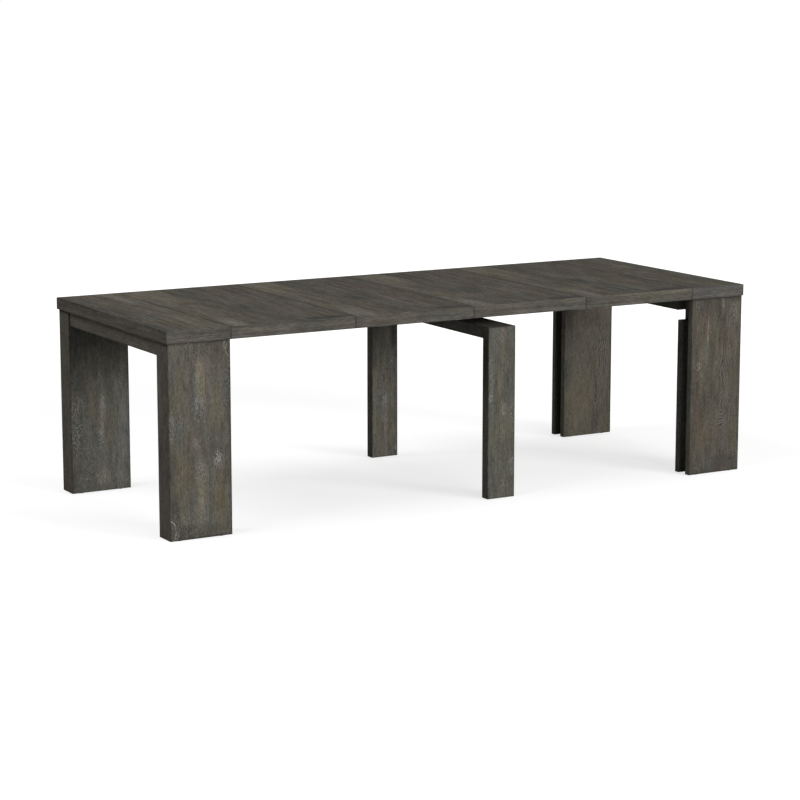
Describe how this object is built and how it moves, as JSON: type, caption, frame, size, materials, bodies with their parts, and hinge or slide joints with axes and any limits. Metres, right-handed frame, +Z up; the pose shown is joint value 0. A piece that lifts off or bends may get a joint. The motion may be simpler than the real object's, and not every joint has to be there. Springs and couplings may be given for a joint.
{
  "type": "extending dining table",
  "caption": "Long extending dining table with loose leaves on telescopic slides, wide plank legs at the ends, a middle support frame and a dark oak finish.",
  "frame": {"origin": "centre of the footprint, on the floor", "axes": "+X along the length towards the end that pulls out, +Y from the front to the back, +Z up"},
  "size_m": [2.54, 1.016, 0.762],
  "materials": {
    "dark_oak": "dark grey-brown brushed oak, matt",
    "bearer_wood": "plain hardwood",
    "dowel_wood": "fluted beech, unfinished",
    "slide_aluminium": "extruded and dark anodised",
    "bracket_steel": "zinc plated, dull",
    "screw_steel": "zinc plated, dull",
    "glide_nylon": "moulded nylon"
  },
  "bodies": {
    "left_end": {"left_apron": "dark_oak", "left_back_bearer": "bearer_wood", "left_back_leg_end_board": "dark_oak", "left_back_leg_inner_board": "dark_oak", "left_back_leg_outer_board": "dark_oak", "left_bracket_screws": "screw_steel", "left_brackets": "bracket_steel", "left_end_top": "dark_oak", "left_front_bearer": "bearer_wood", "left_front_leg_end_board": "dark_oak", "left_front_leg_inner_board": "dark_oak", "left_front_leg_outer_board": "dark_oak", "left_inner_rail": "dark_oak", "left_leg_glides": "glide_nylon", "slide_0_back": "slide_aluminium", "slide_0_front": "slide_aluminium"},
    "middle_frame": {"middle_back_leg": "dark_oak", "middle_crossbar": "dark_oak", "middle_dowels": "dowel_wood", "middle_front_leg": "dark_oak", "middle_leg_glides": "glide_nylon", "middle_slide_seats": "bracket_steel", "slide_3_back": "slide_aluminium", "slide_3_front": "slide_aluminium"},
    "right_end": {"right_apron": "dark_oak", "right_back_bearer": "bearer_wood", "right_back_leg_end_board": "dark_oak", "right_back_leg_inner_board": "dark_oak", "right_back_leg_outer_board": "dark_oak", "right_bracket_screws": "screw_steel", "right_brackets": "bracket_steel", "right_end_top": "dark_oak", "right_front_bearer": "bearer_wood", "right_front_leg_end_board": "dark_oak", "right_front_leg_inner_board": "dark_oak", "right_front_leg_outer_board": "dark_oak", "right_inner_rail": "dark_oak", "right_leg_glides": "glide_nylon", "slide_6_back": "slide_aluminium", "slide_6_front": "slide_aluminium"},
    "slide_1": {"slide_1_back": "slide_aluminium", "slide_1_front": "slide_aluminium"},
    "slide_2": {"slide_2_back": "slide_aluminium", "slide_2_front": "slide_aluminium"},
    "slide_4": {"slide_4_back": "slide_aluminium", "slide_4_front": "slide_aluminium"},
    "slide_5": {"slide_5_back": "slide_aluminium", "slide_5_front": "slide_aluminium"},
    "leaf_1": {"leaf_1_back_bearer": "bearer_wood", "leaf_1_front_bearer": "bearer_wood", "leaf_1_panel": "dark_oak"},
    "leaf_2": {"leaf_2_back_bearer": "bearer_wood", "leaf_2_front_bearer": "bearer_wood", "leaf_2_panel": "dark_oak"},
    "leaf_3": {"leaf_3_back_bearer": "bearer_wood", "leaf_3_front_bearer": "bearer_wood", "leaf_3_panel": "dark_oak"},
    "leaf_4": {"leaf_4_back_bearer": "bearer_wood", "leaf_4_front_bearer": "bearer_wood", "leaf_4_panel": "dark_oak"}
  },
  "joints": [
    {"name": "extension", "type": "slide", "parent": "left_end", "child": "right_end", "axis": [1, 0, 0], "range_m": [0, 0.06]},
    {"name": "slide_1_travel", "type": "slide", "parent": "left_end", "child": "slide_1", "axis": [1, 0, 0], "range_m": [0, 0.01]},
    {"name": "slide_2_travel", "type": "slide", "parent": "left_end", "child": "slide_2", "axis": [1, 0, 0], "range_m": [0, 0.02]},
    {"name": "middle_frame_travel", "type": "slide", "parent": "left_end", "child": "middle_frame", "axis": [1, 0, 0], "range_m": [0, 0.03]},
    {"name": "slide_4_travel", "type": "slide", "parent": "left_end", "child": "slide_4", "axis": [1, 0, 0], "range_m": [0, 0.04]},
    {"name": "slide_5_travel", "type": "slide", "parent": "left_end", "child": "slide_5", "axis": [1, 0, 0], "range_m": [0, 0.05]},
    {"name": "leaf_1_lift", "type": "slide", "parent": "left_end", "child": "leaf_1", "axis": [0, 0, 1], "range_m": [0, 0.25]},
    {"name": "leaf_2_lift", "type": "slide", "parent": "left_end", "child": "leaf_2", "axis": [0, 0, 1], "range_m": [0, 0.25]},
    {"name": "leaf_3_lift", "type": "slide", "parent": "left_end", "child": "leaf_3", "axis": [0, 0, 1], "range_m": [0, 0.25]},
    {"name": "leaf_4_lift", "type": "slide", "parent": "left_end", "child": "leaf_4", "axis": [0, 0, 1], "range_m": [0, 0.25]}
  ],
  "couplings": [
    {"joint": "slide_1_travel", "follows": "extension", "ratio": 0.16667},
    {"joint": "slide_2_travel", "follows": "extension", "ratio": 0.33333},
    {"joint": "middle_frame_travel", "follows": "extension", "ratio": 0.5},
    {"joint": "slide_4_travel", "follows": "extension", "ratio": 0.66667},
    {"joint": "slide_5_travel", "follows": "extension", "ratio": 0.83333}
  ]
}
